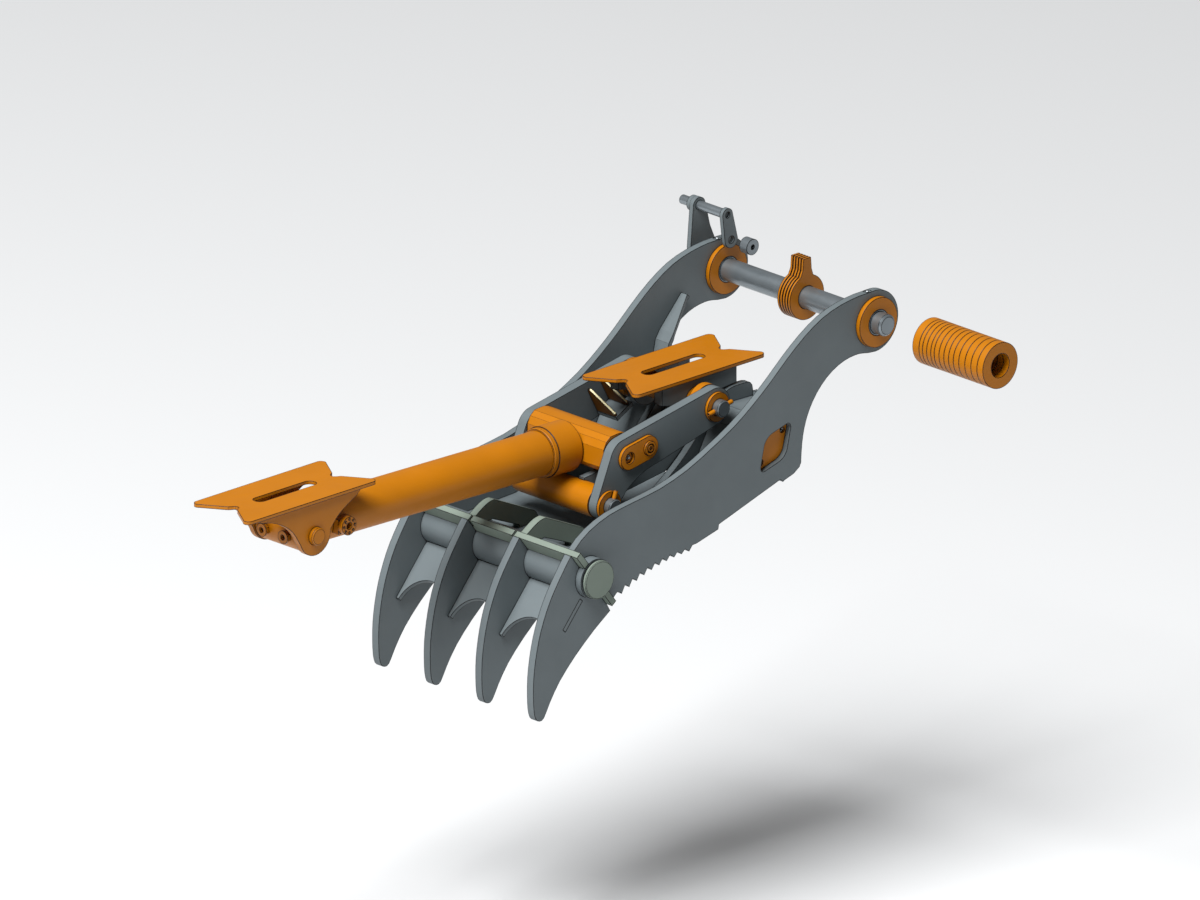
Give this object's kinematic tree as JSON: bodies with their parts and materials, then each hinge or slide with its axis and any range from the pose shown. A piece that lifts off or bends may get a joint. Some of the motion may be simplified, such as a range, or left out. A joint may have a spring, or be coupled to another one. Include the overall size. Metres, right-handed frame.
{
  "type": "hydraulic excavator thumb",
  "caption": "Stick-mounted hydraulic thumb with toothed side plates, curved tines, cylinder, rocker and drag link, and two weld-on brackets.",
  "frame": {"origin": "middle of the main pin, on the mid-plane between the side plates", "axes": "+X along the stick from the front bracket towards the main pin, +Y along the main pin to its far end, +Z square to the weld-on base plates, away from them towards the stick"},
  "size_m": [1.7888, 0.9684, 0.812],
  "materials": {
    "grey_paint": "satin grey paint on plate steel",
    "light_grey_paint": "satin light grey paint on plate steel",
    "orange_paint": "semi-gloss orange paint",
    "green_primer": "matt green-grey primer",
    "bright_steel": "turned steel, lightly oiled",
    "chrome_rod": "hard chrome plate, ground"
  },
  "bodies": {
    "stick_parts": {"rear_base": "orange_paint", "rear_bracket": "grey_paint", "rear_hub": "orange_paint", "front_base": "orange_paint", "front_ears": "orange_paint", "front_pin": "orange_paint", "main_pin": "bright_steel", "pin_flag": "grey_paint", "flag_rod": "bright_steel", "keeper_link": "grey_paint", "threaded_boss": "bright_steel", "tab_shim_set": "orange_paint", "ring_shim_set": "orange_paint"},
    "thumb": {"side_plate_near": "grey_paint", "side_plate_far": "grey_paint", "main_bosses": "orange_paint", "main_bushings": "bright_steel", "tine_near": "grey_paint", "tine_mid_near": "grey_paint", "tine_mid_far": "grey_paint", "tine_far": "grey_paint", "torque_tube": "grey_paint", "tube_caps": "green_primer", "joint_flange": "green_primer", "tine_webs": "light_grey_paint", "deck": "light_grey_paint", "gussets": "green_primer", "link_ears": "grey_paint", "ear_tubes": "grey_paint", "link_pin": "bright_steel", "keepers": "orange_paint", "keeper_bolts": "bright_steel"},
    "rocker": {"rocker_near": "grey_paint", "rocker_far": "grey_paint", "stop_pad": "grey_paint", "wedge_stop": "orange_paint", "rocker_pin": "bright_steel", "lower_pin": "bright_steel", "washers": "orange_paint", "roll_pins": "orange_paint", "stub_pins": "orange_paint"},
    "drag_link": {"link_plates": "grey_paint", "link_hub": "orange_paint", "ear_hub": "orange_paint", "hub_core": "bright_steel"},
    "piston": {"piston_rod": "chrome_rod", "crosshead": "orange_paint"},
    "cylinder": {"barrel": "orange_paint", "barrel_eye": "orange_paint", "eye_core": "bright_steel", "gland": "orange_paint", "rear_ports": "orange_paint", "side_port": "orange_paint"}
  },
  "joints": [
    {"name": "thumb_swing", "type": "hinge", "parent": "stick_parts", "child": "thumb", "pos_m": [0, 0, 0], "axis": [0, -1, 0], "range_deg": [0, 110]},
    {"name": "rocker_swing", "type": "hinge", "parent": "stick_parts", "child": "rocker", "pos_m": [-0.38, 0, -0.125], "axis": [0, -1, 0], "range_deg": [0, 120.92]},
    {"name": "link_swing", "type": "hinge", "parent": "rocker", "child": "drag_link", "pos_m": [-0.703, 0, -0.27], "axis": [0, -1, 0], "range_deg": [-111.07, 0]},
    {"name": "rod_swing", "type": "hinge", "parent": "rocker", "child": "piston", "pos_m": [-0.644, 0, -0.175], "axis": [0, -1, 0], "range_deg": [-127, 0]},
    {"name": "cylinder_stroke", "type": "slide", "parent": "piston", "child": "cylinder", "axis": [-0.9997, 0, 0.0242], "range_m": [0, 0.4535]}
  ],
  "couplings": [
    {"joint": "rocker_swing", "follows": "thumb_swing", "ratio": 1.0992},
    {"joint": "link_swing", "follows": "thumb_swing", "ratio": -1.0097},
    {"joint": "rod_swing", "follows": "thumb_swing", "ratio": -1.1546},
    {"joint": "cylinder_stroke", "follows": "thumb_swing", "m_per_rad": 0.23621}
  ]
}
